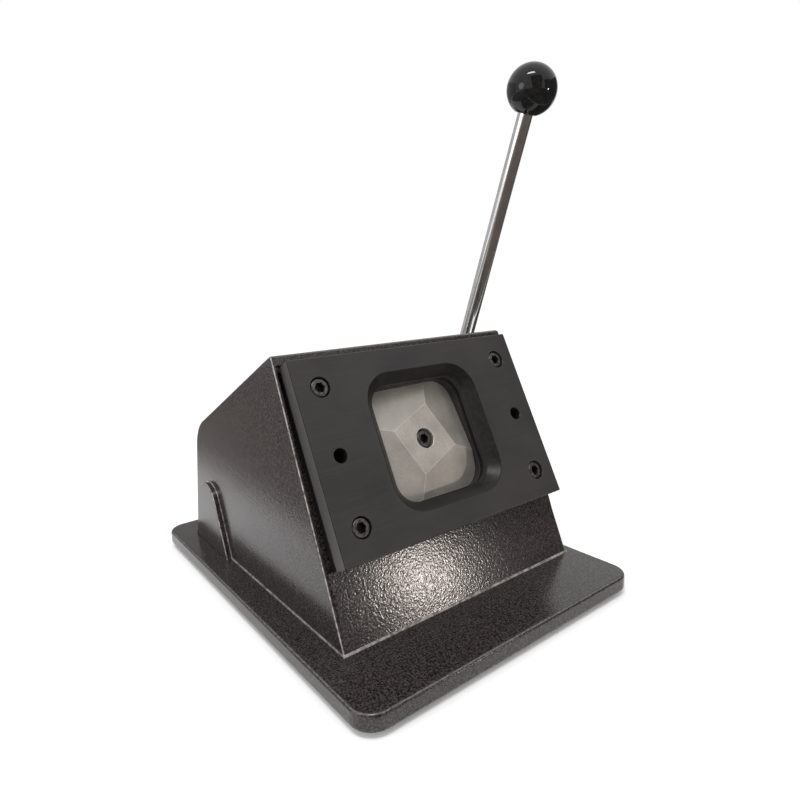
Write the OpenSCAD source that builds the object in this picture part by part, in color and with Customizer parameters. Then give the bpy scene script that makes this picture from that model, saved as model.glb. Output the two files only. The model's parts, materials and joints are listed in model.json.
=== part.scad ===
// Tabletop hand press with a slanted die: a lever turns an eccentric cam that pushes a square punch
// through the die plate. Millimetres. Z is up, Z = 0 is the table, X = 0 and Y = 0 are the middle of
// the base plate, and the die faces the front (-Y).

/* [Base] */
// Width of the base plate, left to right
base_width = 191; // [191:1:230]
// Depth of the base plate, front to back
base_depth = 263; // [263:1:300]
// Thickness of the base plate
base_thick = 9; // [8:0.5:12]
// Radius of the base plate's corners
base_corner = 12; // [6:1:20]
// Height of the rubber feet
foot_height = 3; // [2:0.5:4]
// Radius of a rubber foot
foot_radius = 11; // [9:0.5:14]

/* [Body casting] */
// Outer width of the body
body_width = 166.4; // [166.4:0.2:172]
// How far the body sits to the right of the base plate's middle
body_shift = 4.5; // [0:0.5:4.5]
// Wall thickness of the casting
wall = 6; // [6:0.5:7]
// How far each rear bearing boss stands out of its side wall
boss_proud = 3.5; // [2:0.5:5]
// Radius of the rounded top of a bearing boss
boss_radius = 15.3; // [15:0.1:16]

/* [Die set] */
// Slope of the die plate from the table, degrees
die_slope = 64; // [63:0.5:65]
// Width of the die plate
die_width = 157.8; // [150:0.2:158]
// Height of the die plate along the slope
die_height = 106; // [104:0.5:106]
// Thickness of the die plate
die_thick = 9.5; // [9:0.1:9.5]
// Width of the square cutting opening
die_open = 66.5; // [60:0.5:66.5]
// Corner radius of the cutting opening
die_open_radius = 12.1; // [8:0.1:14]
// Depth and width of the 45 degree bevel round the opening
die_bevel = 5.9; // [3:0.1:6.5]
// Thickness of the slot that the sheet goes into
slot_thick = 3.2; // [2:0.1:3.2]
// Thickness of the guide plate behind the slot
guide_thick = 6; // [5:0.5:6]
// Clearance between the punch and the opening, each side
punch_gap = 0.05; // [0.03:0.01:0.08]

/* [Punch and ram] */
// Length of the punch at its middle
punch_length = 37.5; // [36:0.5:38]
// Side of the flat square in the middle of the punch face
punch_flat = 30.4; // [24:0.2:34]
// Turn of that flat square about the punch axis, degrees
punch_flat_turn = 23.5; // [0:0.5:45]
// Slope of the four ground facets of the punch face, degrees
punch_facet = 13; // [8:0.5:14]
// Travel of the punch
stroke = 10; // [8:0.5:10]
// Radius of the guide pillars
pillar_radius = 7; // [6:0.5:7.5]
// Distance of each guide pillar from the middle
pillar_x = 48; // [47:0.5:50]

/* [Lever] */
// Turn of the lever over its whole pull, degrees
pull = 55; // [45:1:60]
// Lean of the resting lever towards the front, degrees from upright
lever_lean = 22.2; // [15:0.1:25]
// Distance from the cross shaft to the middle of the ball
lever_length = 288.3; // [240:0.5:300]
// Distance of the lever from the body's middle
lever_x = 119; // [118:0.5:122]
// Radius of the lever rod
rod_radius = 5.3; // [5:0.1:6]
// Radius of the ball knob
ball_radius = 16.8; // [15:0.1:20]
// Radius of the cross shaft
shaft_radius = 8; // [7.5:0.1:8]

/* [Hidden] */
$fn = 64;
eps = 0.01;
base_top = foot_height + base_thick;
half_body = body_width / 2;
half_inner = half_body - wall;

// side profile of the body, (y, z)
front_foot = [-89.5, base_top];
front_top = [-33.7, 150.3];
ridge_back = [-31.6, 151.0];
rear_corner = [93.5, 92.7];
rear_foot = [112.5, base_top];
rear_round = 29;

// the middle of the die plate's front face, and the cross shaft, (y, z)
die_at = [-65.3, 101.6];
shaft_at = [75.5, 41.5];
// the same shaft seen from the die: depth behind its front face, and height up its slope
shaft_from_die = shaft_at - die_at;
shaft_depth = shaft_from_die[0] * sin(die_slope) - shaft_from_die[1] * cos(die_slope);
shaft_up = shaft_from_die[0] * cos(die_slope) + shaft_from_die[1] * sin(die_slope);

// depths behind the die plate's front face
slot_depth = die_thick;
guide_depth = slot_depth + slot_thick;
wall_depth = guide_depth + guide_thick;
front_wall = 12;
wall_back = wall_depth + front_wall;
punch_depth = guide_depth - 0.2;
ram_depth = punch_depth + punch_length;
ram_thick = 18;
ram_back = ram_depth + ram_thick;
ram_half_width = 61;
ram_low = -24;
ram_high = 32;
bush_flange = 2;

// the room for the die set in the casting, up the slope from the middle of the die plate
recess_low = -die_height / 2 + 0.4;
recess_high = 50.6;
recess_half = half_body - 1.6;
guide_half = half_inner - 0.9;
screw_x = 64.1;
screw_up = 36.6;
dowel_hole_radius = 3.75;
dowel_x = 30;
dowel_up = 43;

m6 = 3;
m6_free = 3.3;
m6_head = 5;
m6_head_high = 6;
die_counterbore = 5.5;
punch_counterbore = 5.9;
punch_half = die_open / 2 - punch_gap;

// cam: an eccentric disc, cut back to a plain hub where it never meets the ram
cam_offset = stroke / (2 * sin(pull / 2));
cam_radius = cam_offset + shaft_radius + 4;
cam_hub = 19.9;
cam_width = 20;
cam_rest = 90 + pull / 2;
cam_gap = 0.3;
cam_touch = shaft_depth - (cam_radius + cam_offset * cos(cam_rest));
cap_thick = 8;
cap_radius = 20;
cap_back = cam_touch - cam_gap;
cap_front = cap_back - cap_thick;
push_up = shaft_up + 6.5;
push_radius = 14;
key_width = 5;
key_long = 18;

// cross shaft, from the body's middle outwards
left_blind = half_body - 1;
boss_inner = 8;
shaft_left = -half_body + 3;
shaft_right = lever_x + 14;
hub_radius = 15;
hub_half = 15;
bush_wall = 2.5;
flange_thick = 2.5;
flange_radius = 13.5;
sleeve_in = half_body + boss_proud + flange_thick + 0.2;
sleeve_out = lever_x - hub_half - 0.2;

// stop dog on the shaft between two pins in the right wall
dog_x = 50;
dog_width = 12;
dog_reach = 24;
dog_half = 4;
stop_pin = 4;
stop_at = 20;
stop_half_angle = asin((dog_half + stop_pin) / stop_at) + 0.5;
dog_rest = -90 - pull / 2;

// lever parts, measured out from the shaft
spot_face = 14.3;
nut_high = 6.4;
rod_start = spot_face + nut_high + 1.4;
stud_radius = 4;

spring_wire = 0.95;
spring_radius = pillar_radius + 2.4;
spring_turns = 4;

post = 16;
post_high = 13;
foot_in = 20;

// ---------- shared shapes ----------

// the corner of an outline moved inwards by d
function unit(v) = v / norm(v);
function inward(p, q) = let (t = unit(q - p)) [t[1], -t[0]];
function inset_corner(a, b, c, d) =
    let (n1 = inward(a, b), n2 = inward(b, c)) b + d * (n1 + n2) / (1 + n1 * n2);
function inset(pts, d) =
    let (n = len(pts))
    [for (i = [0:n - 1]) inset_corner(pts[(i + n - 1) % n], pts[i], pts[(i + 1) % n], d)];

// moves children to the middle of the die plate's front face: Y runs up the slope, Z out of the face
module at_die() {
    translate([body_shift, die_at[0], die_at[1]])
        rotate([die_slope, 0, 0])
            children();
}

// moves children onto the cross shaft: Z runs along the shaft to the right, X to the back, Y up
module at_shaft(x = 0) {
    translate([body_shift + x, shaft_at[0], shaft_at[1]])
        rotate([90, 0, 90])
            children();
}

// sets children so that the origin lies under the middle of the whole press, ball knob included
module centred() {
    translate([(base_width / 2 - body_shift - lever_x - ball_radius) / 2, 0, 0])
        children();
}

// moves children onto the lever: Z runs from the shaft out to the ball
module at_lever() {
    translate([body_shift + lever_x, shaft_at[0], shaft_at[1]])
        rotate([lever_lean, 0, 0])
            children();
}

// stretches a side profile (y, z) across the body
module across(x_low, x_high) {
    translate([body_shift + x_low, 0, 0])
        rotate([90, 0, 90])
            linear_extrude(x_high - x_low)
                children();
}

module rounded_rectangle(w, d, r) {
    square([w - 2 * r, d], center = true);
    square([w, d - 2 * r], center = true);
    for (x = [-1, 1], y = [-1, 1])
        translate([x * (w / 2 - r), y * (d / 2 - r)])
            circle(r);
}

module on_corners(x, y) {
    for (i = [-1, 1], j = [-1, 1])
        translate([i * x, j * y, 0])
            children();
}

// a socket head screw, head top at Z = 0 and shank pointing down
module socket_screw(shank, length, head, head_high, socket) {
    difference() {
        union() {
            translate([0, 0, -head_high])
                cylinder(r = head, h = head_high);
            translate([0, 0, -head_high - length])
                cylinder(r = shank, h = length + eps);
        }
        translate([0, 0, -head_high / 2])
            cylinder(r = socket / 2 / cos(30), h = head_high, $fn = 6);
    }
}

// ---------- base ----------

module base_plate() {
    color("#4b4747")
    difference() {
        translate([0, 0, foot_height])
            linear_extrude(base_thick)
                rounded_rectangle(base_width, base_depth, base_corner);
        body_screw_places() {
            translate([0, 0, foot_height - eps])
                cylinder(r = m6_free, h = base_thick + 1);
            translate([0, 0, foot_height - eps])
                cylinder(r1 = 6.4, r2 = m6_free, h = 3.4);
        }
        on_corners(base_width / 2 - foot_in, base_depth / 2 - foot_in)
            translate([0, 0, foot_height - eps])
                cylinder(r = 2, h = 6);
    }
}

module body_screw_places() {
    for (s = [-1, 1]) {
        translate([body_shift + s * (half_inner - post / 2), -64, 0])
            children();
        translate([body_shift + s * 40, 92, 0])
            children();
    }
}

module rubber_feet() {
    color("#1c1c1c")
    on_corners(base_width / 2 - foot_in, base_depth / 2 - foot_in)
        difference() {
            cylinder(r = foot_radius, h = foot_height);
            translate([0, 0, -eps])
                cylinder(r = 4.4, h = foot_height - 1 + eps);
            cylinder(r = 2.2, h = foot_height + 1);
        }
}

module foot_screws() {
    color("#8d8f92")
    on_corners(base_width / 2 - foot_in, base_depth / 2 - foot_in)
        difference() {
            union() {
                translate([0, 0, foot_height - 2.4])
                    cylinder(r = 3.8, h = 1.38);
                translate([0, 0, foot_height - 1.1])
                    cylinder(r = 1.95, h = 6.6);
            }
            translate([0, 0, foot_height - 2.5])
                cylinder(r = 1.4, h = 0.9, $fn = 6);
        }
}

// ---------- body ----------

// the outside of the body seen from its side, with the low rear corner rounded
module body_outline() {
    n1 = inward(ridge_back, rear_corner);
    n2 = inward(rear_corner, rear_foot);
    centre = rear_corner + rear_round * (n1 + n2) / (1 + n1 * n2);
    polygon([front_foot, front_top, ridge_back, centre - rear_round * n1,
        centre - rear_round * n2, rear_foot]);
    translate(centre)
        circle(rear_round, $fn = 128);
}

// the room inside the walls, seen from the side
module room_outline() {
    pts = inset([front_foot, front_top, rear_corner, rear_foot], wall);
    low = base_top - 1;
    polygon([[pts[0][0] - 3, low], pts[0], pts[1], pts[2], pts[3], [pts[3][0] + 1, low]]);
}

// a boss with a round top and flared sides, seen from the side
module boss_outline() {
    flare = 22.3;
    reach = (shaft_at[1] - base_top + boss_radius * sin(flare)) / cos(flare);
    side = boss_radius * cos(flare) + reach * sin(flare);
    translate(shaft_at)
        circle(boss_radius);
    translate(shaft_at)
        polygon([[-boss_radius * cos(flare), boss_radius * sin(flare)],
            [boss_radius * cos(flare), boss_radius * sin(flare)],
            [side, base_top - shaft_at[1]],
            [-side, base_top - shaft_at[1]]]);
}

// the lower front panel stands out a little more towards its top
module panel_outline() {
    slope = unit(front_top - front_foot);
    top = front_foot + slope * 41;
    outer = top + 2.2 * [-slope[1], slope[0]];
    back = 3 * [slope[1], -slope[0]];
    polygon([front_foot, outer, top + back, front_foot + [4, 0]]);
}

module body_casting() {
    color("#4d4948")
    difference() {
        union() {
            difference() {
                across(-half_body, half_body)
                    body_outline();
                across(-half_inner, half_inner)
                    room_outline();
            }
            across(-half_body + 1.8, half_body - 1.8)
                panel_outline();
            // front wall behind the die set
            intersection() {
                across(-half_inner - 1, half_inner + 1)
                    body_outline();
                at_die()
                    translate([-body_width, recess_low - 12, -wall_back])
                        cube([2 * body_width, die_height * 2, front_wall]);
            }
            // rear bearing bosses, outside and inside
            across(-half_body - boss_proud, -half_body + 1)
                boss_outline();
            across(half_body - 1, half_body + boss_proud)
                boss_outline();
            for (s = [-1, 1])
                at_shaft(s * (half_inner - boss_inner / 2) - (boss_inner + 2) / 2)
                    cylinder(r = boss_radius, h = boss_inner + 2);
            // posts for the screws from under the base
            for (s = [-1, 1]) {
                translate([body_shift + s * (half_inner - post / 2 + 0.5), -64, base_top])
                    translate([-post / 2, -post / 2, 0])
                        cube([post, post, post_high]);
                translate([body_shift + s * 40 - post / 2, 92 - post / 2, base_top])
                    cube([post, post + 7, post_high]);
            }
        }
        // room for the die set
        at_die()
            translate([-recess_half, recess_low, -wall_depth])
                cube([2 * recess_half, recess_high - recess_low, wall_depth + 40]);
        // the die plate itself is a little taller than that room
        at_die()
            translate([-recess_half, -die_height / 2 - 0.4, -die_thick - 0.2])
                cube([2 * recess_half, die_height + 0.8, 40]);
        // way through for the punch
        at_die()
            translate([0, 0, -wall_back - 1])
                linear_extrude(front_wall + 2)
                    rounded_rectangle(die_open + 1.6, die_open + 1.6, die_open_radius + 0.8);
        at_die()
            for (s = [-1, 1])
                translate([s * pillar_x, 0, -wall_back - 1])
                    cylinder(r = pillar_radius + 0.01, h = front_wall + 2);
        at_die()
            on_corners(screw_x, screw_up)
                translate([0, 0, -wall_depth - 10.5])
                    cylinder(r = m6, h = 12);
        at_die()
            on_corners(dowel_x, dowel_up)
                translate([0, 0, -wall_depth - 6])
                    cylinder(r = 3.01, h = 8);
        // shaft bores: blind on the left, right through on the right
        at_shaft(-left_blind)
            cylinder(r = shaft_radius + bush_wall + 0.01, h = left_blind - half_inner + boss_inner + 3);
        at_shaft(half_inner - boss_inner - 3)
            cylinder(r = shaft_radius + bush_wall + 0.01, h = boss_inner + wall + boss_proud + 5);
        for (a = [dog_rest - stop_half_angle, dog_rest + pull + stop_half_angle])
            at_shaft(half_inner - 1)
                rotate([0, 0, a])
                    translate([stop_at, 0, 0])
                        cylinder(r = stop_pin, h = 5);
        body_screw_places()
            translate([0, 0, base_top - 1])
                cylinder(r = m6, h = 11);
    }
}

module body_screws() {
    color("#2b2b2d")
    body_screw_places()
        difference() {
            union() {
                translate([0, 0, foot_height + 0.2])
                    cylinder(r1 = 6.0, r2 = 2.95, h = 3.05);
                translate([0, 0, foot_height + 0.2])
                    cylinder(r = 2.95, h = 17.5);
            }
            translate([0, 0, foot_height - 1])
                cylinder(r = 2 / cos(30), h = 3.2, $fn = 6);
        }
}

// ---------- die set ----------

module bevelled_opening() {
    half = die_open / 2;
    straight = half - die_open_radius;
    for (turn = [0, 90])
        rotate([0, 0, turn])
            translate([-straight, 0, 0])
                rotate([90, 0, 90])
                    linear_extrude(2 * straight)
                        polygon([[-half - die_bevel - 1, 1], [-half, -die_bevel], [half, -die_bevel],
                            [half + die_bevel + 1, 1]]);
    on_corners(straight, straight)
        translate([0, 0, -die_bevel])
            cylinder(r1 = die_open_radius, r2 = die_open_radius + die_bevel + 1, h = die_bevel + 1);
    translate([0, 0, -die_thick - 1])
        linear_extrude(die_thick + 1)
            rounded_rectangle(die_open, die_open, die_open_radius);
}

module die_plate() {
    color("#3c3a3a")
    at_die()
        difference() {
            translate([-die_width / 2, -die_height / 2, -die_thick])
                cube([die_width, die_height, die_thick]);
            bevelled_opening();
            on_corners(screw_x, screw_up) {
                translate([0, 0, -m6_head_high - 0.6])
                    cylinder(r = die_counterbore, h = 10);
                translate([0, 0, -die_thick - 1])
                    cylinder(r = m6_free, h = die_thick);
            }
            for (s = [-1, 1])
                translate([s * screw_x, 0, -die_thick - 1])
                    cylinder(r = dowel_hole_radius, h = die_thick + 2);
            on_corners(dowel_x, dowel_up)
                translate([0, 0, -die_thick - 1])
                    cylinder(r = 3.01, h = 6);
        }
}

module die_screws() {
    color("#242425")
    at_die()
        on_corners(screw_x, screw_up)
            translate([0, 0, -0.6])
                socket_screw(m6 - 0.05, 20, m6_head, m6_head_high, 5);
}

module slot_spacer(low, high) {
    at_die()
        difference() {
            translate([-71, low, -guide_depth])
                cube([142, high - low, slot_thick]);
            for (x = [-1, 1], y = [-1, 1]) {
                translate([x * screw_x, y * screw_up, -guide_depth - 1])
                    cylinder(r = m6_free, h = slot_thick + 2);
                translate([x * screw_x - m6_free, y * screw_up - (y > 0 ? 6 : 0), -guide_depth - 1])
                    cube([2 * m6_free, 6, slot_thick + 2]);
            }
            on_corners(dowel_x, dowel_up)
                translate([0, 0, -guide_depth - 1])
                    cylinder(r = 3.01, h = slot_thick + 2);
        }
}

module upper_slot_spacer() {
    color("#6f7073")
    slot_spacer(34, recess_high - 0.3);
}

module lower_slot_spacer() {
    color("#6f7073")
    slot_spacer(recess_low + 0.2, -34);
}

module die_dowels() {
    color("#a9abad")
    at_die()
        on_corners(dowel_x, dowel_up)
            translate([0, 0, -wall_depth - 5])
                cylinder(r = 3, h = wall_depth + 5 - die_thick + 4.5);
}

module guide_plate() {
    color("#2e2d2d")
    at_die()
        difference() {
            translate([-guide_half, recess_low + 0.2, -wall_depth])
                cube([2 * guide_half, recess_high - recess_low - 0.5, guide_thick]);
            translate([0, 0, -wall_depth - 1])
                linear_extrude(guide_thick + 2)
                    rounded_rectangle(die_open, die_open, die_open_radius);
            on_corners(screw_x, screw_up)
                translate([0, 0, -wall_depth - 1])
                    cylinder(r = m6_free, h = guide_thick + 2);
            on_corners(dowel_x, dowel_up)
                translate([0, 0, -wall_depth - 1])
                    cylinder(r = 3.01, h = guide_thick + 2);
        }
}

// ---------- ram guides ----------

module guide_pillars() {
    color("#b4b6b8")
    at_die()
        for (s = [-1, 1])
            translate([s * pillar_x, 0, -ram_back - 14])
                difference() {
                    cylinder(r = pillar_radius, h = ram_back + 14 - wall_depth);
                    translate([0, 0, 14 - 2.4])
                        rotate_extrude()
                            translate([pillar_radius - 0.8, 0])
                                square([2, 1.3]);
                }
}

// snap rings that end the ram's way back
module pillar_rings() {
    color("#55565a")
    at_die()
        for (s = [-1, 1])
            translate([s * pillar_x, 0, -ram_back - 2.3])
                difference() {
                    cylinder(r = pillar_radius + 2.6, h = 1.1);
                    translate([0, 0, -1])
                        cylinder(r = pillar_radius - 0.75, h = 4);
                    translate([-1.6, -pillar_radius - 5, -1])
                        cube([3.2, pillar_radius + 2, 4]);
                }
}

// one closed coil drawn as a tube swept along a helix
module coil(radius, wire, height, turns) {
    steps = 20 * turns;
    sides = 8;
    pts = [for (i = [0:steps], j = [0:sides - 1])
        let (a = 360 * turns * i / steps, b = 360 * j / sides, r = radius + wire * cos(b))
            [r * cos(a), r * sin(a), wire + (height - 2 * wire) * i / steps + wire * sin(b)]];
    ends = [[for (j = [0:sides - 1]) j], [for (j = [sides - 1:-1:0]) steps * sides + j]];
    sheet = [for (i = [0:steps - 1], j = [0:sides - 1])
        let (k = (j + 1) % sides)
            [i * sides + j, (i + 1) * sides + j, (i + 1) * sides + k, i * sides + k]];
    polyhedron(points = pts, faces = concat(ends, sheet), convexity = 8);
}

module return_spring(side) {
    at_die()
        translate([side * pillar_x, 0, -ram_depth + bush_flange + 0.1])
            coil(spring_radius, spring_wire, ram_depth - bush_flange - wall_back - 0.2, spring_turns);
}

module left_return_spring() {
    color("#9a9b9d")
    return_spring(-1);
}

module right_return_spring() {
    color("#9a9b9d")
    return_spring(1);
}

// ---------- punch and ram ----------

module punch() {
    color("#a6a198")
    at_die()
        difference() {
            translate([0, 0, -ram_depth])
                linear_extrude(punch_length)
                    rounded_rectangle(2 * punch_half, 2 * punch_half, die_open_radius - punch_gap);
            for (k = [0:3])
                rotate([0, 0, punch_flat_turn + 90 * k])
                    translate([punch_flat / 2, -60, -punch_depth])
                        rotate([0, punch_facet, 0])
                            cube([60, 120, 20]);
            translate([0, 0, -punch_depth - m6_head_high - 1.2])
                cylinder(r = punch_counterbore, h = 20);
            translate([0, 0, -ram_depth - 1])
                cylinder(r = m6_free, h = punch_length);
            for (s = [-1, 1])
                translate([s * 18, 0, -ram_depth - 1])
                    cylinder(r = 3.01, h = 9);
        }
}

module punch_screw() {
    color("#1f1f20")
    at_die()
        translate([0, 0, -punch_depth - 1.2])
            socket_screw(m6 - 0.05, punch_length + 4, m6_head, m6_head_high, 5);
}

module punch_dowels() {
    color("#a9abad")
    at_die()
        for (s = [-1, 1])
            translate([s * 18, 0, -ram_depth - 7.5])
                cylinder(r = 3, h = 15);
}

module ram_plate() {
    color("#74767a")
    at_die()
        difference() {
            translate([-ram_half_width, ram_low, -ram_back])
                cube([2 * ram_half_width, ram_high - ram_low, ram_thick]);
            for (s = [-1, 1])
                translate([s * pillar_x, 0, -ram_back - 1])
                    cylinder(r = pillar_radius + 3.01, h = ram_thick + 2);
            translate([0, 0, -ram_depth - 14])
                cylinder(r = m6, h = 15);
            for (s = [-1, 1])
                translate([s * 18, 0, -ram_depth - 8])
                    cylinder(r = 3.01, h = 9);
            translate([0, push_up + 2, -ram_back - 1])
                cylinder(r = 8.02, h = 13);
        }
}

module ram_bushes() {
    color("#b08a48")
    at_die()
        for (s = [-1, 1])
            translate([s * pillar_x, 0, -ram_back])
                difference() {
                    union() {
                        cylinder(r = pillar_radius + 3, h = ram_thick);
                        translate([0, 0, ram_thick])
                            cylinder(r = pillar_radius + 5, h = bush_flange);
                    }
                    translate([0, 0, -1])
                        cylinder(r = pillar_radius + 0.05, h = ram_thick + 4);
                }
}

module push_rod() {
    color("#7d7f83")
    at_die() {
        translate([0, push_up, -cap_front])
            cylinder(r = push_radius, h = cap_front - ram_back);
        translate([0, push_up + 2, -ram_back - eps])
            cylinder(r = 8, h = 11);
    }
}

module thrust_cap() {
    color("#9fa2a6")
    at_die()
        translate([0, push_up, -cap_back])
            cylinder(r = cap_radius, h = cap_thick);
}

// ---------- shaft and lever ----------

module shaft_bush(x_low, x_high, flange_low) {
    at_shaft()
        difference() {
            union() {
                translate([0, 0, x_low])
                    cylinder(r = shaft_radius + bush_wall, h = x_high - x_low);
                translate([0, 0, flange_low])
                    cylinder(r = flange_radius, h = flange_thick);
            }
            translate([0, 0, x_low - 4])
                cylinder(r = shaft_radius + 0.04, h = x_high - x_low + 10);
        }
}

module left_shaft_bush() {
    color("#b08a48")
    shaft_bush(-half_body + 1.5, -half_inner + boss_inner + 1, -half_inner + boss_inner + 1);
}

module right_shaft_bush() {
    color("#b08a48")
    shaft_bush(half_inner - boss_inner, half_body + boss_proud, half_body + boss_proud);
}

module stop_pins() {
    color("#8b8d90")
    for (a = [dog_rest - stop_half_angle, dog_rest + pull + stop_half_angle])
        at_shaft(dog_x + 1)
            rotate([0, 0, a])
                translate([stop_at, 0, 0])
                    cylinder(r = stop_pin - 0.01, h = half_inner + 3.8 - dog_x - 1);
}

module key_cut(extra) {
    rotate([0, 0, 90])
        translate([shaft_radius - 2.5 - extra, -key_width / 2 - extra, -key_long / 2 - extra])
            cube([5 + 2 * extra, key_width + 2 * extra, key_long + 2 * extra]);
}

module cross_shaft() {
    color("#8f9194")
    difference() {
        at_shaft(shaft_left)
            cylinder(r = shaft_radius, h = shaft_right - shaft_left);
        at_shaft()
            key_cut(0.02);
        at_lever()
            rotate([90, 0, 0])
                translate([0, 0, -20])
                    cylinder(r = 2.51, h = 40);
    }
}

module cam_outline() {
    // angles are from the punch axis, turning up the slope
    tip = 88;
    out = 180 - (90 - die_slope);
    rotate(out)
        mirror([0, 1])
            intersection() {
                rotate(cam_rest)
                    translate([cam_offset, 0])
                        circle(cam_radius, $fn = 128);
                union() {
                    circle(cam_hub, $fn = 128);
                    polygon([[0, 0], [40, 0], [40, 40], [40 * cos(tip), 40 * sin(tip)]]);
                }
            }
}

module cam() {
    color("#8a8c90")
    difference() {
        at_shaft(-cam_width / 2)
            linear_extrude(cam_width)
                cam_outline();
        at_shaft(-cam_width)
            cylinder(r = shaft_radius + 0.01, h = 2 * cam_width);
        at_shaft()
            key_cut(0.03);
        at_shaft()
            rotate([0, 90, 0])
                translate([0, 0, shaft_radius - 1])
                    cylinder(r = 2.5, h = 20);
    }
}

module cam_key() {
    color("#a3a5a8")
    at_shaft()
        key_cut(0);
}

module set_screw(at, length) {
    translate([0, 0, at])
        difference() {
            cylinder(r = 2.45, h = length);
            translate([0, 0, length - 2])
                cylinder(r = 1.25 / cos(30), h = 3, $fn = 6);
        }
}

module cam_set_screw() {
    color("#232324")
    at_shaft()
        rotate([0, 90, 0])
            set_screw(shaft_radius + 0.05, 7);
}

module stop_collar() {
    color("#6a6c70")
    difference() {
        at_shaft(dog_x) {
            cylinder(r = 14, h = dog_width);
            rotate([0, 0, dog_rest])
                translate([11, -dog_half, 1])
                    cube([dog_reach - 11, 2 * dog_half, dog_width - 2]);
        }
        at_shaft(dog_x - 1)
            cylinder(r = shaft_radius + 0.01, h = dog_width + 2);
        at_shaft(dog_x + dog_width / 2)
            rotate([0, 90, 90])
                translate([0, 0, shaft_radius - 1])
                    cylinder(r = 2.5, h = 10);
    }
}

module collar_set_screw() {
    color("#232324")
    at_shaft(dog_x + dog_width / 2)
        rotate([0, 90, 90])
            set_screw(shaft_radius + 0.05, 5.5);
}

module spacer_sleeve() {
    color("#77797d")
    at_shaft(sleeve_in)
        difference() {
            cylinder(r = 12, h = sleeve_out - sleeve_in);
            translate([0, 0, -1])
                cylinder(r = shaft_radius + 0.02, h = sleeve_out - sleeve_in + 2);
        }
}

module lever_hub() {
    color("#8e9195")
    difference() {
        at_shaft(lever_x - hub_half)
            cylinder(r = hub_radius, h = 2 * hub_half);
        at_shaft(lever_x - hub_half - 1)
            cylinder(r = shaft_radius + 0.01, h = 2 * hub_half + 2);
        at_lever() {
            translate([0, 0, spot_face])
                cylinder(r = 10.5, h = 8);
            translate([0, 0, shaft_radius - 1])
                cylinder(r = stud_radius + 0.01, h = 10);
            rotate([90, 0, 0])
                translate([0, 0, -20])
                    cylinder(r = 2.51, h = 40);
        }
    }
}

module hub_pin() {
    color("#55575a")
    at_lever()
        rotate([90, 0, 0])
            translate([0, 0, -14.6])
                cylinder(r = 2.5, h = 29.2);
}

module lever_rod() {
    color("#c9cbcd")
    at_lever() {
        translate([0, 0, shaft_radius + 0.5])
            cylinder(r = stud_radius, h = rod_start - shaft_radius);
        translate([0, 0, rod_start])
            cylinder(r = rod_radius, h = lever_length - 4 - rod_start);
    }
}

module lock_nut() {
    color("#a7a9ac")
    at_lever()
        translate([0, 0, spot_face + 0.05])
            difference() {
                cylinder(r = 8 / cos(30), h = nut_high, $fn = 6);
                translate([0, 0, -1])
                    cylinder(r = stud_radius + 0.03, h = nut_high + 2);
            }
}

module ball_knob() {
    color("#0e0e0f")
    at_lever()
        difference() {
            translate([0, 0, lever_length])
                sphere(r = ball_radius);
            translate([0, 0, lever_length - ball_radius - 2])
                cylinder(r = rod_radius + 0.02, h = ball_radius - 1.5);
        }
}

centred() base_plate();
centred() rubber_feet();
centred() foot_screws();
centred() body_casting();
centred() body_screws();
centred() die_plate();
centred() die_screws();
centred() upper_slot_spacer();
centred() lower_slot_spacer();
centred() die_dowels();
centred() guide_plate();
centred() guide_pillars();
centred() pillar_rings();
centred() left_shaft_bush();
centred() right_shaft_bush();
centred() stop_pins();
centred() left_return_spring();
centred() right_return_spring();
centred() punch();
centred() punch_screw();
centred() punch_dowels();
centred() ram_plate();
centred() ram_bushes();
centred() push_rod();
centred() thrust_cap();
centred() cross_shaft();
centred() cam();
centred() cam_key();
centred() cam_set_screw();
centred() stop_collar();
centred() collar_set_screw();
centred() spacer_sleeve();
centred() lever_hub();
centred() hub_pin();
centred() lever_rod();
centred() lock_nut();
centred() ball_knob();
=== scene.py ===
import json
import math

import bmesh
import bpy
from mathutils import Matrix, Vector

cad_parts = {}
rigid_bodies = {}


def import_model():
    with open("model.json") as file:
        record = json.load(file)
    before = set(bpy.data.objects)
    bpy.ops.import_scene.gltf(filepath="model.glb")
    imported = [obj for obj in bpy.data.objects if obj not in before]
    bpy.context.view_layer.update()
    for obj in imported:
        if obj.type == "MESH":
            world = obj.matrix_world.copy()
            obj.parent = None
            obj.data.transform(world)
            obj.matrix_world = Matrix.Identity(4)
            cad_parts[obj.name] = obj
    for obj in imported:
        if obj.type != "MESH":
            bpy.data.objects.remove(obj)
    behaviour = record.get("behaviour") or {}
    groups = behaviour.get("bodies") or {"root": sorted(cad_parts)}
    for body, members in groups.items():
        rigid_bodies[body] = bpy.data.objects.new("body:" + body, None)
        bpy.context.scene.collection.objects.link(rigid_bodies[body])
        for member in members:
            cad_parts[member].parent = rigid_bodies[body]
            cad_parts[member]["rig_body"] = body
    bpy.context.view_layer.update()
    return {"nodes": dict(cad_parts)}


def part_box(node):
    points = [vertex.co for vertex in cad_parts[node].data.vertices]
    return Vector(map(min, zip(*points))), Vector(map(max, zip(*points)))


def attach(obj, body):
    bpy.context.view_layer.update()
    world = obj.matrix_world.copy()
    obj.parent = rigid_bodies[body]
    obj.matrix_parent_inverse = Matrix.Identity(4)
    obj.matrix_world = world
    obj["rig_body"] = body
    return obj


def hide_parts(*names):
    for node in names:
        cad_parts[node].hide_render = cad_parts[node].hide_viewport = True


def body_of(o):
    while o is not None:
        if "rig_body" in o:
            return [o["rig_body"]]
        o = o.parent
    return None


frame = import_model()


# ---- camera and studio ----
# A close view from the front left, a little above the die. The room is white with a pale floor, with
# a small low lamp in front, a long one overhead and a broad one at the left wall. Dark and grey cards
# give the paint, the plated rod and the knob something darker than the room to mirror.
stand_low, stand_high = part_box("base_plate")
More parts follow.
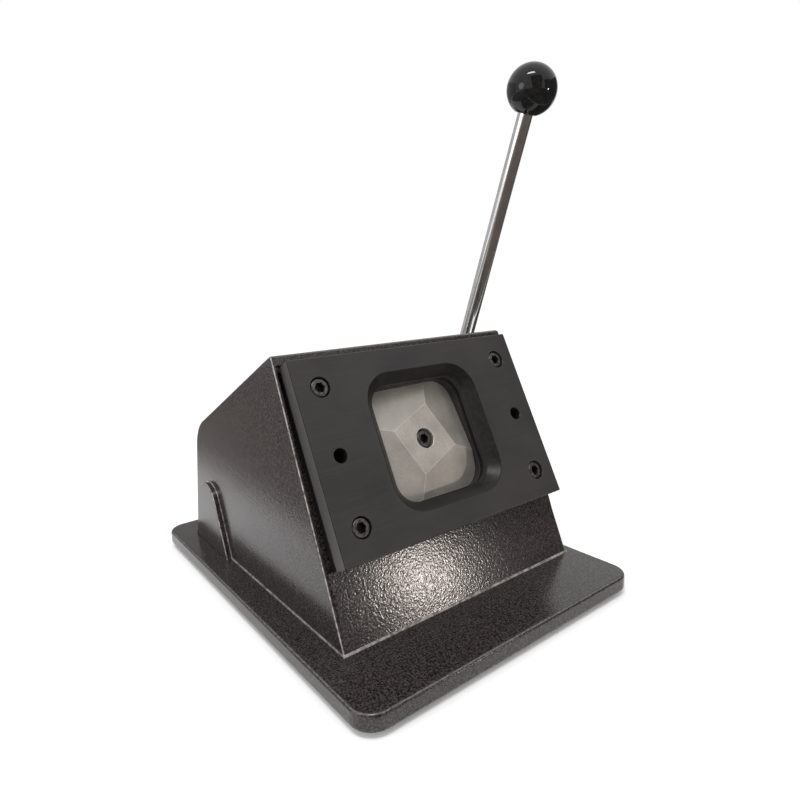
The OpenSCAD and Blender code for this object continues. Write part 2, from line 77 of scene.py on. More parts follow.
base_centre = Vector(((stand_low.x + stand_high.x) / 2, (stand_low.y + stand_high.y) / 2, 0))
eye = base_centre + Vector((-0.2092, -0.3150, 0.1870))
right, down = Vector((0.7940, -0.6066, -0.0408)), Vector((-0.1297, -0.1035, -0.9861))
lens = bpy.data.cameras.new("studio_camera")
lens.lens, lens.sensor_width = 27.0, 36.0
lens.shift_x, lens.shift_y = 0.0009, -0.028
lens.clip_start = 0.01
camera = bpy.data.objects.new("studio_camera", lens)
aim = Matrix((right, -down, right.cross(-down))).transposed().to_4x4()
camera.matrix_world = Matrix.Translation(eye) @ aim
bpy.context.scene.collection.objects.link(camera)
bpy.context.scene.camera = camera
bpy.context.scene.view_settings.view_transform = "Standard"


def soft_lamp(name, place, target, width, height, power):
    lamp = bpy.data.lights.new(name, "AREA")
    lamp.shape, lamp.size, lamp.size_y, lamp.energy = "ELLIPSE", width, height, power
    holder = bpy.data.objects.new(name, lamp)
    holder.location = base_centre + Vector(place)
    holder.rotation_euler = (Vector(target) - Vector(place)).to_track_quat("-Z", "Y").to_euler()
    bpy.context.scene.collection.objects.link(holder)
    return holder


low_front = soft_lamp("low_front_lamp", (0.86, -1.42, 0.12), (0, 0, 0.06), 0.08, 0.09, 2.9)
low_front.data.color = (1.0, 0.91, 0.84)
soft_lamp("high_left_lamp", (-0.45, -0.45, 1.45), (0, 0, 0.1), 0.7, 0.18, 8)
soft_lamp("left_wall_lamp", (-1.7, 0.2, 0.55), (0, 0, 0.08), 0.8, 0.8, 5)


def dark_card(name, place, width, height, shade, facing=(0, 0, 0.1)):
    """A matt card that is only seen mirrored: it never stands in a view or shades anything."""
    half_w, half_h = width / 2, height / 2
    sheet_mesh = bpy.data.meshes.new(name)
    sheet_mesh.from_pydata([(-half_w, -half_h, 0), (half_w, -half_h, 0), (half_w, half_h, 0),
                            (-half_w, half_h, 0)], [], [(0, 1, 2, 3)])
    card = bpy.data.objects.new(name, sheet_mesh)
    card.location = base_centre + Vector(place)
    card.rotation_euler = (Vector(facing) - Vector(place)).to_track_quat("Z", "Y").to_euler()
    card.visible_camera = card.visible_diffuse = card.visible_shadow = False
    bpy.context.scene.collection.objects.link(card)
    felt = bpy.data.materials.new(name + "_felt")
    felt.use_nodes = True
    felt.node_tree.nodes["Principled BSDF"].inputs["Base Color"].default_value = (*shade, 1)
    felt.node_tree.nodes["Principled BSDF"].inputs["Roughness"].default_value = 1.0
    sheet_mesh.materials.append(felt)


dark_card("card_behind_camera", (-0.55, -1.35, 0.75), 1.3, 1.5, (0.04, 0.035, 0.032))
dark_card("card_at_the_back", (-0.50, 2.00, 0.50), 3.4, 1.7, (0.42, 0.42, 0.42))
dark_card("card_in_front", (1.30, -1.90, 0.62), 2.0, 1.3, (0.05, 0.045, 0.04))
dark_card("card_at_the_right", (1.75, -0.45, 0.45), 1.3, 1.3, (0.05, 0.05, 0.045))
dark_card("card_on_the_floor", (0.10, -1.10, 0.002), 3.8, 1.9, (0.075, 0.058, 0.048), (0.10, -1.10, 1))
dark_card("card_on_the_right_floor", (1.10, 0.35, 0.002), 1.8, 0.98, (0.028, 0.030, 0.026), (1.10, 0.35, 1))
dark_card("card_on_the_left_floor", (-0.85, 0.55, 0.002), 1.4, 1.5, (0.20, 0.17, 0.16), (-0.85, 0.55, 1))

tent = bpy.data.worlds.new("white_tent")
tent.use_nodes = True
tent.node_tree.nodes["Background"].inputs["Color"].default_value = (1.0, 1.0, 1.0, 1)
tent.node_tree.nodes["Background"].inputs["Strength"].default_value = 1.0
bpy.context.scene.world = tent

floor_half = 6.0
floor_mesh = bpy.data.meshes.new("studio_floor")
floor_mesh.from_pydata([(-floor_half, -floor_half, 0), (floor_half, -floor_half, 0),
                        (floor_half, floor_half, 0), (-floor_half, floor_half, 0)], [], [(0, 1, 2, 3)])
floor = bpy.data.objects.new("studio_floor", floor_mesh)
bpy.context.scene.collection.objects.link(floor)
floor_paint = bpy.data.materials.new("studio_floor_paint")
floor_paint.use_nodes = True
floor_shader = floor_paint.node_tree.nodes["Principled BSDF"]
floor_shader.inputs["Base Color"].default_value = (0.95, 0.95, 0.95, 1)
floor_shader.inputs["Roughness"].default_value = 0.9
floor_shader.inputs["Specular IOR Level"].default_value = 0.1
floor_shader.inputs["Emission Color"].default_value = (1, 1, 1, 1)
floor_shader.inputs["Emission Strength"].default_value = 0.06
floor_mesh.materials.append(floor_paint)


# ---- base plate ----
# A sawn steel plate with milled round corners and broken edges, sprayed with hammertone enamel.
# The casting is screwed on from below.
class Finish:
    """One surface finish and the nodes it is made of."""

    def __init__(self, name):
        self.material = bpy.data.materials.new(name)
        self.material.use_nodes = True
        self.tree = self.material.node_tree
        self.shader = self.tree.nodes["Principled BSDF"]
        self.place = self.tree.nodes.new("ShaderNodeTexCoord").outputs["Object"]

    def node(self, kind, links=(), **settings):
        made = self.tree.nodes.new(kind)
        for key, value in settings.items():
            setattr(made, key, value)
        for socket, value in links:
            if hasattr(value, "is_linked"):
                self.tree.links.new(value, made.inputs[socket])
            else:
                made.inputs[socket].default_value = value
        return made

    def stretched(self, turn, stretch):
        links = [("Vector", self.place), ("Rotation", turn), ("Scale", stretch)]
        return self.node("ShaderNodeMapping", links).outputs["Vector"]

    def noise(self, scale, detail=3.0, place=None, rough=0.5):
        return self.node("ShaderNodeTexNoise", [("Vector", place or self.place), ("Scale", scale),
                                                ("Detail", detail), ("Roughness", rough)]).outputs["Fac"]

    def cells(self, scale, place=None, feature="SMOOTH_F1"):
        links = [("Vector", place or self.place), ("Scale", scale)]
        return self.node("ShaderNodeTexVoronoi", links, feature=feature).outputs["Distance"]

    def band(self, value, low, high, out_low=0.0, out_high=1.0):
        links = [("Value", value), ("From Min", low), ("From Max", high),
                 ("To Min", out_low), ("To Max", out_high)]
        return self.node("ShaderNodeMapRange", links).outputs["Result"]

    def sum(self, a, b, how="ADD"):
        return self.node("ShaderNodeMath", [(0, a), (1, b)], operation=how).outputs["Value"]

    def mixed(self, share, first, second):
        made = self.node("ShaderNodeMix", data_type="RGBA")
        for socket, value in ((0, share), (6, first), (7, second)):
            if hasattr(value, "is_linked"):
                self.tree.links.new(value, made.inputs[socket])
            else:
                made.inputs[socket].default_value = (*value, 1) if socket else value
        return made.outputs[2]

    def edges(self, radius, low=0.02, high=0.25):
        """1 on worn corners, 0 on open faces."""
        soft = self.node("ShaderNodeBevel", [("Radius", radius)], samples=4).outputs["Normal"]
        flat = self.node("ShaderNodeNewGeometry").outputs["Normal"]
        turn = self.node("ShaderNodeVectorMath", [(0, soft), (1, flat)],
                         operation="DOT_PRODUCT").outputs["Value"]
        return self.band(self.sum(1.0, turn, "SUBTRACT"), low, high)

    def bump(self, height, strength, distance):
        links = [("Height", height), ("Strength", strength), ("Distance", distance)]
        return self.node("ShaderNodeBump", links).outputs["Normal"]

    def set(self, **values):
        names = {"colour": "Base Color", "rough": "Roughness", "metal": "Metallic", "normal": "Normal",
                 "specular": "Specular IOR Level"}
        for key, value in values.items():
            socket = self.shader.inputs[names[key]]
            if hasattr(value, "is_linked"):
                self.tree.links.new(value, socket)
            else:
                socket.default_value = (*value, 1) if key == "colour" else value
        return self.material


def hammertone(name, rubbed=0.0):
    """Hammertone enamel; rubbed is how far the paint has thinned to bright metal, a pale mix that on the
    base rim and the beads is a painted highlight.
    """
    paint = Finish(name)
    wobble = paint.noise(260, 2)
    swirl = paint.node("ShaderNodeTexNoise", [("Vector", paint.place), ("Scale", 420.0), ("Detail", 2.0)])
    push = paint.node("ShaderNodeVectorMath", [(0, swirl.outputs["Color"]), ("Scale", 0.0014)],
                      operation="SCALE").outputs["Vector"]
    drift = paint.node("ShaderNodeVectorMath", [(0, paint.place), (1, push)],
                       operation="ADD").outputs["Vector"]
    domes = paint.cells(900, drift)
    small = paint.cells(1900, drift)
    leather = paint.sum(paint.band(domes, 0.05, 0.70, 1.0, 0.0), paint.band(small, 0.1, 0.8, 0.3, 0.0))
    # the valleys between the domes are painted darker: painted shade in the dimples
    pit_shade = paint.band(domes, 0.24, 0.50)
    flake = paint.band(paint.cells(1500, feature="F1"), 0.1, 0.55, 1.0, 0.0)
    colour = paint.mixed(pit_shade, (0.046, 0.038, 0.038), (0.007, 0.006, 0.006))
    colour = paint.mixed(paint.sum(flake, 0.45, "MULTIPLY"), colour, (0.135, 0.112, 0.106))
    colour = paint.mixed(paint.band(wobble, 0.35, 0.7, 0.0, 0.35), colour, (0.030, 0.024, 0.023))
    if rubbed:
        patchy = paint.band(paint.noise(420, 5), 0.36, 0.60, 0.25 * rubbed, rubbed)
        colour = paint.mixed(patchy, colour, (0.46, 0.42, 0.40))
    return paint.set(colour=colour, rough=paint.band(leather, 0.0, 1.2, 0.22, 0.10), specular=0.4,
                     normal=paint.bump(leather, 0.6, 0.000065))


def shaded(piece, smooth_angle=40):
    """Smooth across eased edges, sharp across real corners, and flat on flat faces."""
    for face in piece.data.polygons:
        face.use_smooth = True
    piece.data.set_sharp_from_angle(angle=math.radians(smooth_angle))
    if not piece.modifiers:
        piece.modifiers.new("flat_faces", "WEIGHTED_NORMAL").keep_sharp = True
    return piece


def from_bmesh(name, shape, material, smooth_angle=40):
    """A piece from a finished bmesh, shaded smooth except across real corners."""
    bmesh.ops.recalc_face_normals(shape, faces=shape.faces)
    mesh = bpy.data.meshes.new(name)
    shape.to_mesh(mesh)
    shape.free()
    mesh.materials.append(material)
    piece = bpy.data.objects.new(name, mesh)
    bpy.context.scene.collection.objects.link(piece)
    return shaded(piece, smooth_angle)


def loft(rings):
    """A closed skin over rings of points, each ring with the same number of points."""
    shape = bmesh.new()
    rows = [[shape.verts.new(p) for p in ring] for ring in rings]
    for a, b in zip(rows, rows[1:]):
        for i in range(len(a)):
            j = (i + 1) % len(a)
            shape.faces.new((a[i], a[j], b[j], b[i]))
    shape.faces.new(rows[0][::-1])
    shape.faces.new(rows[-1])
    return shape


def round_corners(corners, steps=8):
    """Points round an outline given as (x, y, corner radius)."""
    out = []
    count = len(corners)
    for i, (x, y, radius) in enumerate(corners):
        here = Vector((x, y))
        to_last = (Vector(corners[i - 1][:2]) - here).normalized()
        to_next = (Vector(corners[(i + 1) % count][:2]) - here).normalized()
        if radius <= 0:
            out.append(here)
            continue
        half = to_last.angle(to_next) / 2
        middle = here + (to_last + to_next).normalized() * (radius / math.sin(half))
        start = here + to_last * (radius / math.tan(half)) - middle
        sweep = math.pi - 2 * half
        if to_last.cross(to_next) > 0:
            sweep = -sweep
        for k in range(steps + 1):
            out.append(middle + Matrix.Rotation(sweep * k / steps, 2) @ start)
    return out


def box_outline(half_x, half_y, radius, middle=(0, 0)):
    x, y = middle
    return [(x + half_x, y + half_y, radius), (x - half_x, y + half_y, radius),
            (x - half_x, y - half_y, radius), (x + half_x, y - half_y, radius)]


def eased_slab(outline_at, low, high, edge, steps=4):
    """Rings up a slab whose outline shrinks by the edge radius at both faces."""
    rings = []
    for k in range(steps + 1):
        a = math.pi / 2 * k / steps
        rings.append((low + edge * (1 - math.sin(a)), edge * (1 - math.cos(a))))
    rings = rings[::-1]
    top = [(low + high - z, inset) for z, inset in rings[::-1]]
    return [[(p[0], p[1], z) for p in outline_at(inset)] for z, inset in rings + top]


base_corner, base_edge = 0.012, 0.0016
base_half = (stand_high - stand_low) / 2


def base_outline(inset):
    half_x, half_y = base_half.x - inset, base_half.y - inset
    return round_corners(box_outline(half_x, half_y, base_corner - inset, base_centre.xy), 12)


base_rings = eased_slab(base_outline, stand_low.z, stand_high.z, base_edge)
base_paint = hammertone("hammertone_enamel")
rubbed_and_highlight_paint = hammertone("hammertone_rubbed_and_highlight", 0.7)
base_rim_highlight_paint = hammertone("hammertone_base_rim_highlight", 0.22)


def rub_rims(piece, is_rim, worn=rubbed_and_highlight_paint):
    """Gives the narrow faces of eased edges the rubbed paint, or the paint passed in, which on the base rim
    is a painted highlight.
    """
    if len(piece.data.materials) < 2:
        piece.data.materials.append(worn)
    for face in piece.data.polygons:
        if is_rim(face):
            face.material_index = 1
    return piece


base = from_bmesh("base_plate_painted", loft(base_rings), base_paint)
# the upward faces of the base's eased top edge get the pale rubbed mix as a painted highlight
rub_rims(base, lambda face: 0.8 < face.normal.z < 0.97, base_rim_highlight_paint)
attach(base, body_of(frame["nodes"]["base_plate"])[0])
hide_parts("base_plate")


# ---- body casting ----
# One iron casting: slanted front, narrow ridge, long slope down to a round rear corner, and a
# bearing boss low on each side. Its edges are rounded by the mould and the paint.
def carved(piece, *tools, how="DIFFERENCE", smooth_angle=35):
    """Cuts closed tools out of a piece, or joins them on, and throws the tools away."""
    piece.modifiers.clear()
    for tool in tools:
        tool.modifiers.clear()
        step = piece.modifiers.new("carve", "BOOLEAN")
        step.operation, step.object, step.solver = how, tool, "EXACT"
        settled = piece.evaluated_get(bpy.context.evaluated_depsgraph_get())
        mesh = bpy.data.meshes.new_from_object(settled)
        piece.modifiers.clear()
        piece.data = mesh
        bpy.data.objects.remove(tool)
    return shaded(piece, smooth_angle)


def side_prism(outline, x_low, x_high, edge=0.0, steps=4):
    """A prism across the press from a side profile of (y, z) points, with eased side edges."""
    shape = loft([[(x, p[0], p[1]) for p in outline] for x in (x_low, x_high)])
    if edge:
        bmesh.ops.recalc_face_normals(shape, faces=shape.faces)
        rims = [e for e in shape.edges if abs(e.verts[0].co.x - e.verts[1].co.x) < 1e-7]
        bmesh.ops.bevel(shape, geom=rims, offset=edge, segments=steps, profile=0.5, affect="EDGES",
                        clamp_overlap=True)
    return shape


mm = 0.001
low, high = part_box("body_casting")
boss_proud = 3.5 * mm
body_left, body_right = low.x + boss_proud, high.x - boss_proud
body_middle = (body_left + body_right) / 2
wall = 6 * mm
floor_line = low.z
front_foot, rear_foot = (low.y, floor_line), (high.y, floor_line)
front_top, ridge_back = (-33.7 * mm, 150.3 * mm), (-31.6 * mm, 151.0 * mm)
rear_corner, rear_round = (93.5 * mm, 92.7 * mm), 29 * mm
profile = round_corners([(*front_foot, 0), (*front_top, 0.9 * mm), (*ridge_back, 1.2 * mm),
                         (*rear_corner, rear_round), (*rear_foot, 0)], 14)
body_edge = 1.1 * mm
body = from_bmesh("body_base_painted", side_prism(profile, body_left, body_right, body_edge), base_paint)


def side_rim(face):
    """Is this one of the narrow faces that turn from a side into the rim?"""
    return 0.25 < abs(face.normal.x) < 0.97


rub_rims(body, side_rim)

# the die set's own frame: along the press, up the slope, and out of the plate's face
die_slope = math.radians(64)
out_of_face = Vector((0, -math.sin(die_slope), math.cos(die_slope)))
up_slope = Vector((0, math.cos(die_slope), math.sin(die_slope)))
plate_low, plate_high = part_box("die_plate")
plate_thick, plate_height = 9.5 * mm, 106 * mm
plate_width = plate_high.x - plate_low.x
die_centre = (plate_low + plate_high) / 2 + out_of_face * (plate_thick / 2)


def on_die(u, v, w):
    """A point u along the press, v up the slope and w out of the die plate's front face."""
    return die_centre + Vector((u, 0, 0)) + up_slope * v + out_of_face * w


def die_loft(rings):
    """A closed skin over rings given as ([(u, v)...], w)."""
    return loft([[on_die(p[0], p[1], w) for p in ring] for ring, w in rings])


# bearing bosses, their foot flared out to the base
shaft_low, shaft_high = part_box("cross_shaft")
shaft_y, shaft_z = (shaft_low.y + shaft_high.y) / 2, (shaft_low.z + shaft_high.z) / 2
boss_radius, flare = 15.3 * mm, math.radians(22.3)
reach = (shaft_z - floor_line + boss_radius * math.sin(flare)) / math.cos(flare)
foot_half = boss_radius * math.cos(flare) + reach * math.sin(flare)
arc = [(shaft_y + boss_radius * math.cos(a), shaft_z + boss_radius * math.sin(a)) for a in
       [flare + (math.pi - 2 * flare) * k / 32 for k in range(33)]]
boss = [(shaft_y + foot_half, floor_line)] + arc + [(shaft_y - foot_half, floor_line)]
boss_edge, boss_in = 0.8 * mm, 3 * mm


def grown(outline, middle, by):
    """An outline pushed out from its middle, its foot kept on the floor line."""
    out = []
    for y, z in outline:
        away = (Vector((y, z)) - Vector(middle)).normalized() * by
        out.append((y + away.x, max(z + away.y, floor_line)))
    return out


# beads of paint gather where a boss meets its wall and along the foot of the casting; their pale rubbed
# paint is a painted highlight along these joints
bead, bead_in, boss_bead_proud = 0.7 * mm, 2 * mm, 0.45 * mm
foot_bead_high, foot_bead_proud = 0.8 * mm, 0.5 * mm
bosses, beads = [], []
for wall_x, side in ((body_left, -1), (body_right, 1)):
    ends = sorted((wall_x - side * boss_in, wall_x + side * boss_proud))
    bosses.append(rub_rims(from_bmesh("boss", side_prism(boss, *ends, boss_edge), base_paint), side_rim))
    ends = sorted((wall_x - side * bead_in, wall_x + side * boss_bead_proud))
    ring = side_prism(grown(boss, (shaft_y, shaft_z), bead), *ends)
    beads.append(from_bmesh("bead", ring, rubbed_and_highlight_paint))
    foot = [(front_foot[0] - bead, floor_line), (front_foot[0], floor_line + foot_bead_high),
            (rear_foot[0], floor_line + foot_bead_high), (rear_foot[0], floor_line)]
    ends = sorted((wall_x - side * bead_in, wall_x + side * foot_bead_proud))
    beads.append(from_bmesh("bead", side_prism(foot, *ends), rubbed_and_highlight_paint))
bead_top, bead_back, bead_past = floor_line + 0.9 * mm, front_foot[0] + 3 * mm, 0.3 * mm
front_bead = [(front_foot[0] - bead, floor_line), (front_foot[0] - 0.2 * mm, bead_top),
              (bead_back, bead_top), (bead_back, floor_line)]
front_bead_shape = side_prism(front_bead, body_left - bead_past, body_right + bead_past)
beads.append(from_bmesh("bead", front_bead_shape, rubbed_and_highlight_paint))
carved(body, *bosses, *beads, how="UNION")

# the lower front panel stands out a little below the die plate
front_up = Vector((front_top[0] - front_foot[0], front_top[1] - front_foot[1])).normalized()
front_out = Vector((-front_up.y, front_up.x))
panel_high, panel_proud, panel_deep, panel_in, panel_edge = 41 * mm, 2.2 * mm, 3 * mm, 1.8 * mm, 0.5 * mm
panel_top = Vector(front_foot) + front_up * panel_high
panel = [Vector(front_foot), panel_top + front_out * panel_proud, panel_top - front_out * panel_deep,
         Vector(front_foot) - front_out * panel_deep + Vector((mm, 0))]
panel_shape = side_prism(panel, body_left + panel_in, body_right - panel_in, panel_edge, 3)
carved(body, from_bmesh("panel", panel_shape, base_paint), how="UNION")

# the room behind the front wall, the pocket for the die set, the way for the punch, the bores
wall_depth, wall_back = 18.7 * mm, 30.7 * mm
recess_low, recess_high = -52.6 * mm, 50.6 * mm
inner_left, inner_right = body_left + wall, body_right - wall


def behind_wall(z):
    """Where the back of the front wall is at a height, seen from the side."""
    back = on_die(0, 0, -wall_back)
    return back.y + (z - back.z) / math.tan(die_slope)


room_top, under_rear_corner, behind_rear_corner = 137 * mm, (84 * mm, 86 * mm), (97.5 * mm, 60 * mm)
room = [(behind_wall(floor_line - mm), floor_line - mm), (behind_wall(room_top), room_top),
        under_rear_corner, behind_rear_corner, (rear_foot[0] - wall, floor_line - mm)]
pocket_half, past_face = (body_right - body_left) / 2 - 1.6 * mm, 40 * mm
plate_room_half, plate_room_depth = plate_height / 2 + 0.4 * mm, plate_thick + 0.2 * mm


def pocket(v_low, v_high, depth):
    """A square cut down from the die plate's face, nearly as wide as the casting."""
    outline = ((-pocket_half, v_low), (pocket_half, v_low), (pocket_half, v_high), (-pocket_half, v_high))
    return die_loft([(outline, -depth), (outline, past_face)])


recesses = [pocket(recess_low, recess_high, wall_depth),
            pocket(-plate_room_half, plate_room_half, plate_room_depth)]
open_half, open_round = 33.25 * mm, 12.1 * mm


def square_ring(grow):
    return round_corners(box_outline(open_half + grow, open_half + grow, open_round + grow), 10)


punch_way = die_loft([(square_ring(0.8 * mm), -wall_back - mm), (square_ring(0.8 * mm), -wall_depth + mm)])


def turned(steps_along, start, along, sides=48):
    """A turned shape from (distance along, radius) steps about a line."""
    along = along.normalized()
    side = along.orthogonal().normalized()
    other = along.cross(side)
    rings = []
    for distance, radius in steps_along:
        middle = start + along * distance
        rings.append([middle + (side * math.cos(a) + other * math.sin(a)) * radius
                      for a in [2 * math.pi * k / sides for k in range(sides)]])
    return loft(rings)


bush_radius, left_bore, right_bore, right_bore_in = 10.51 * mm, 14 * mm, 20 * mm, 11 * mm
across_press = Vector((1, 0, 0))
bores = [turned([(0, bush_radius), (left_bore, bush_radius)],
                Vector((body_left + mm, shaft_y, shaft_z)), across_press),
         turned([(0, bush_radius), (right_bore, bush_radius)],
                Vector((inner_right - right_bore_in, shaft_y, shaft_z)), across_press)]
tools = [from_bmesh("tool", shape, base_paint) for shape in
         [side_prism([Vector(p) for p in room], inner_left, inner_right), punch_way] + recesses + bores]
carved(body, *tools)
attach(body, body_of(frame["nodes"]["body_casting"])[0])
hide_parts("body_casting")


# ---- die plate ----
# Hardened tool steel, oiled satin black, with a square opening milled to a 45 degree bevel. It has
# counterbores for four cap screws, and a plain hole goes through at mid height on each side.
def black_steel(name, painted_light_gain=1.0):
    steel = Finish(name)
    ground = steel.noise(35, 5, steel.stretched((0, 0, 0), (1, 26, 26)))
    cloud = steel.noise(28, 4)
    dark, mid, light = [tuple(painted_light_gain * c for c in shade) for shade in
                        ((0.025, 0.0235, 0.0235), (0.034, 0.031, 0.0305), (0.050, 0.046, 0.045))]
    colour = steel.mixed(steel.band(cloud, 0.35, 0.65), dark, mid)
    colour = steel.mixed(steel.band(ground, 0.45, 0.7, 0.0, 0.2), colour, light)
    worn = steel.sum(steel.edges(0.0005), steel.band(steel.noise(140, 3), 0.4, 0.6), "MULTIPLY")
    colour = steel.mixed(steel.sum(worn, 0.5, "MULTIPLY"), colour, (0.24, 0.23, 0.22))
    fine = steel.noise(900, 2, steel.stretched((0, 0, 0), (1, 10, 10)))
    return steel.set(colour=colour, rough=steel.band(cloud, 0.3, 0.7, 0.42, 0.54), metal=0.1,
                     specular=0.3, normal=steel.bump(fine, 0.12, 0.0001))


plate_black = black_steel("blackened_tool_steel")
bevel_deep = 5.9 * mm
screw_x, screw_up = 64.1 * mm, 36.6 * mm
plate_edge = 0.35 * mm


def plate_outline(inset):
    return round_corners(box_outline(plate_width / 2 - inset, plate_height / 2 - inset, 0.6 * mm), 4)


plate_rings = [(plate_outline(plate_edge), 0), (plate_outline(0), -plate_edge),
               (plate_outline(0), plate_edge - plate_thick), (plate_outline(plate_edge), -plate_thick)]
plate = from_bmesh("die_plate_blackened", die_loft(plate_rings), plate_black, 30)
# down the opening: eased rim, bevel, a narrow step, then the straight sides that cut
lip = 0.3 * mm
opening = [(square_ring(bevel_deep + 2 * mm), 2 * mm - 0.25 * mm),
           (square_ring(bevel_deep + 0.3 * mm), 0.02 * mm),
           (square_ring(bevel_deep - 0.25 * mm), -0.25 * mm), (square_ring(lip), -bevel_deep + lip),
           (square_ring(0.1 * mm), -bevel_deep + 0.05 * mm),
           (square_ring(0), -bevel_deep - lip), (square_ring(0), -plate_thick - mm)]


def die_turned(u, v, steps_out, sides=48):
    """A turned shape square to the die plate, from (height out of its face, radius) steps."""
    return turned(steps_out, on_die(u, v, 0), out_of_face, sides)


pocket_radius, pocket_deep, screw_way = 5.5 * mm, 6.6 * mm, 3.3 * mm
plain_hole, ease = 3.75 * mm, 0.3 * mm
tools = [die_loft(opening)]
for u in (-screw_x, screw_x):
    for v in (-screw_up, screw_up):
        tools.append(die_turned(u, v, [(-pocket_deep, pocket_radius), (-ease, pocket_radius),
                                       (ease, pocket_radius + 2 * ease)]))
        tools.append(die_turned(u, v, [(-plate_thick - mm, screw_way), (-pocket_deep + mm, screw_way)]))
    tools.append(die_turned(u, 0, [(-plate_thick - mm, plain_hole), (-ease, plain_hole),
                                   (ease, plain_hole + 2 * ease)]))
carved(plate, *[from_bmesh("tool", shape, plate_black) for shape in tools])


def dark_milled(name):
    """Milled faces, oiled and nearly black; also used as painted shade down holes, sockets and the slot
    beside the die plate.
    """
    steel = Finish(name)
    cutter = steel.noise(70, 4, steel.stretched((0, 0, 0), (1, 8, 8)))
    colour = steel.mixed(steel.band(cutter, 0.35, 0.65), (0.0065, 0.006, 0.006), (0.013, 0.012, 0.0105))
    return steel.set(colour=colour, rough=steel.band(cutter, 0.3, 0.7, 0.30, 0.42), specular=0.25,
                     normal=steel.bump(cutter, 0.08, 0.0001))


oiled_steel_and_shade = dark_milled("milled_oiled_steel_and_painted_shade")
plate.data.materials.append(oiled_steel_and_shade)
# a lighter copy of the blackened steel for the sides: painted light
plate.data.materials.append(black_steel("blackened_sides_painted_light", 2.2))
# the sides are left as sawn and get a lighter copy of the blackened steel as painted light; the eased side
# edges and the bevel are oiled and near black, and the walls of the holes get the same near black as
# painted shade
near_half, rim_width, back_depth = open_half + 6.5 * mm, 2 * mm, 9.4 * mm
for face in plate.data.polygons:
    facing, middle = face.normal.dot(out_of_face), face.center - die_centre
    across, upward = abs(middle.x), abs(middle.dot(up_slope))
    at_side, near_opening = across > plate_width / 2 - mm, across < near_half and upward < near_half
    inside = across < plate_width / 2 - rim_width and upward < plate_height / 2 - rim_width
    in_hole = inside and not near_opening and middle.dot(out_of_face) > -back_depth
    if at_side and abs(face.normal.x) > 0.95:
        face.material_index = 2
    elif (at_side or near_opening) and 0.3 < facing < 0.9 or in_hole and facing < 0.9:
        face.material_index = 1
# the casting's machined pocket walls beside the plate get the same near black, as painted shade in the slot
body.data.materials.append(oiled_steel_and_shade)
for face in body.data.polygons:
    if abs(face.normal.x) > 0.9 and abs(abs(face.center.x - body_middle) - pocket_half) < 0.2 * mm:
        face.material_index = 2
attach(plate, body_of(frame["nodes"]["die_plate"])[0])
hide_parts("die_plate")


# ---- cap screws ----
# Cold-headed steel socket screws with a black oxide finish: a rounded rim, a bright worn ring on
# top and a hexagon socket. Four hold the die plate, one holds the punch.
def oxide(name):
    skin = Finish(name)
    grime = skin.noise(700, 4)
    colour = skin.mixed(skin.band(grime, 0.35, 0.65), (0.050, 0.047, 0.046), (0.120, 0.112, 0.108))
    colour = skin.mixed(skin.sum(skin.edges(0.0004), 0.75, "MULTIPLY"), colour, (0.38, 0.36, 0.34))
    return skin.set(colour=colour, rough=skin.band(grime, 0.3, 0.7, 0.28, 0.45), metal=0.75,
                    normal=skin.bump(grime, 0.15, 0.0001))


def cap_screw(u, v, top, shank_radius, shank_end):
    """One socket head screw square to the die plate, its head's top at height top."""
    head, rim, high_head, socket = 5.0 * mm, 0.8 * mm, 6.0 * mm, 2.5 * mm / math.cos(math.pi / 6)
    sides = 48

    def ring(radius, w):
        return [on_die(u + radius * math.cos(a), v + radius * math.sin(a), w)
                for a in [2 * math.pi * k / sides for k in range(sides)]]

    def hexagon(radius, w):
        turns = [math.pi / 3 * k for k in range(6)]
        corners = [Vector((math.cos(a), math.sin(a))) * radius for a in turns]
        points = []
        for k in range(6):
            points += [corners[k].lerp(corners[(k + 1) % 6], i / 8) for i in range(8)]
        return [on_die(u + p.x, v + p.y, w) for p in points]

    rings = [ring(shank_radius, shank_end), ring(shank_radius, top - high_head),
             ring(head - 0.2 * mm, top - high_head), ring(head, top - high_head + 0.2 * mm)]
    for k in range(5):
        a = math.pi / 2 * k / 4
        rings.append(ring(head - rim * (1 - math.cos(a)), top - rim * (1 - math.sin(a))))
    rings += [ring(3.6 * mm, top), hexagon(socket + 0.25 * mm, top), hexagon(socket, top - 0.25 * mm),
              hexagon(socket, top - 4.2 * mm), hexagon(0.4 * mm, top - 5.0 * mm)]
    return loft(rings)


screw_oxide = oxide("black_oxide")
screw_top, screw_end, shank = -0.6 * mm, -26.6 * mm, 2.95 * mm
four = bmesh.new()
for u in (-screw_x, screw_x):
    for v in (-screw_up, screw_up):
        one = cap_screw(u, v, screw_top, shank, screw_end)
        kept = bpy.data.meshes.new("screw")
        one.to_mesh(kept)
        one.free()
        four.from_mesh(kept)
die_screws = from_bmesh("die_cap_screws", four, screw_oxide, 35)
# near black for the faces inside the sockets: painted shade
socket_shade = dark_milled("socket_painted_shade")


def paint_socket_shade(screws, centres, top):
    """The faces down inside each hexagon socket are painted nearly black: painted shade."""
    screws.data.materials.append(socket_shade)
    socket_reach, floor_below, rim_below = 3.0 * mm, top - 5.2 * mm, top - 0.1 * mm
    for face in screws.data.polygons:
        middle = face.center - die_centre
        near = min(math.hypot(middle.x - u, middle.dot(up_slope) - v) for u, v in centres)
        if near < socket_reach and floor_below < middle.dot(out_of_face) < rim_below:
            face.material_index = 1


paint_socket_shade(die_screws, [(u, v) for u in (-screw_x, screw_x) for v in (-screw_up, screw_up)], screw_top)
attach(die_screws, body_of(frame["nodes"]["die_screws"])[0])
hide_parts("die_screws")


